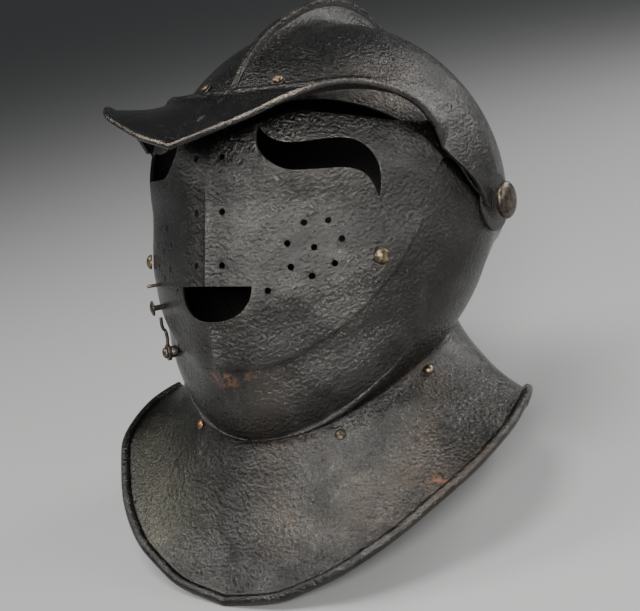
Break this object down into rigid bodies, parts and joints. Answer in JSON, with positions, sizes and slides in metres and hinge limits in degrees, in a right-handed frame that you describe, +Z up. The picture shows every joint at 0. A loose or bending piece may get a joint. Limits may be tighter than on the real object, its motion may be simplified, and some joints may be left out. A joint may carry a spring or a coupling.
{
  "type": "closed burgonet helmet with face visor",
  "caption": "Closed steel helmet with a low comb, a pointed peak, a face-shaped visor with eye slits and a mouth opening, a bevor and flared neck plates.",
  "frame": {"origin": "centre of the footprint of the whole helmet, on the floor it stands on", "axes": "+Z up, -Y the way the face looks, +X the wearer's left; the helmet leans back as it stands on its neck plates"},
  "size_m": [0.2416, 0.2842, 0.2673],
  "materials": {
    "black_steel": "blackened, pitted, lightly oiled",
    "worn_steel": "dark, worn",
    "old_brass": "tarnished",
    "old_copper": "tarnished copper"
  },
  "bodies": {
    "skull_body": {"skull": "black_steel", "gorget_rear": "black_steel", "pivot_left": "worn_steel", "pivot_right": "worn_steel", "pivot_washer_left": "worn_steel", "pivot_washer_right": "worn_steel", "brow_rivet_left": "worn_steel", "brow_rivet_right": "worn_steel", "brow_washer_left": "worn_steel", "brow_washer_right": "worn_steel"},
    "bevor_body": {"bevor": "black_steel", "gorget_front": "black_steel", "neck_rivet_left": "old_brass", "neck_rivet_right": "old_copper", "neck_rivet_side": "old_brass", "latch_spacer": "worn_steel", "latch_rivet": "worn_steel"},
    "visor_body": {"visor": "black_steel", "cheek_rivet_left": "worn_steel", "cheek_rivet_right": "worn_steel", "latch_stud": "worn_steel", "latch_pin": "worn_steel"},
    "peak_body": {"peak": "black_steel"},
    "hook_body": {"hook_arm": "worn_steel"}
  },
  "joints": [
    {"name": "bevor_pivot", "type": "hinge", "parent": "skull_body", "child": "bevor_body", "pos_m": [0, 0.03178, 0.15256], "axis": [-1, 0, 0], "range_deg": [0, 12]},
    {"name": "visor_pivot", "type": "hinge", "parent": "bevor_body", "child": "visor_body", "pos_m": [0, 0.03178, 0.15256], "axis": [-1, 0, 0], "range_deg": [0, 15]},
    {"name": "peak_pivot", "type": "hinge", "parent": "visor_body", "child": "peak_body", "pos_m": [0, 0.03178, 0.15256], "axis": [-1, 0, 0], "range_deg": [0, 6]},
    {"name": "hook_swivel", "type": "hinge", "parent": "bevor_body", "child": "hook_body", "pos_m": [-0.05336, -0.07322, 0.10792], "axis": [-0.5838, -0.8004, 0.1363], "range_deg": [0, 60]}
  ]
}
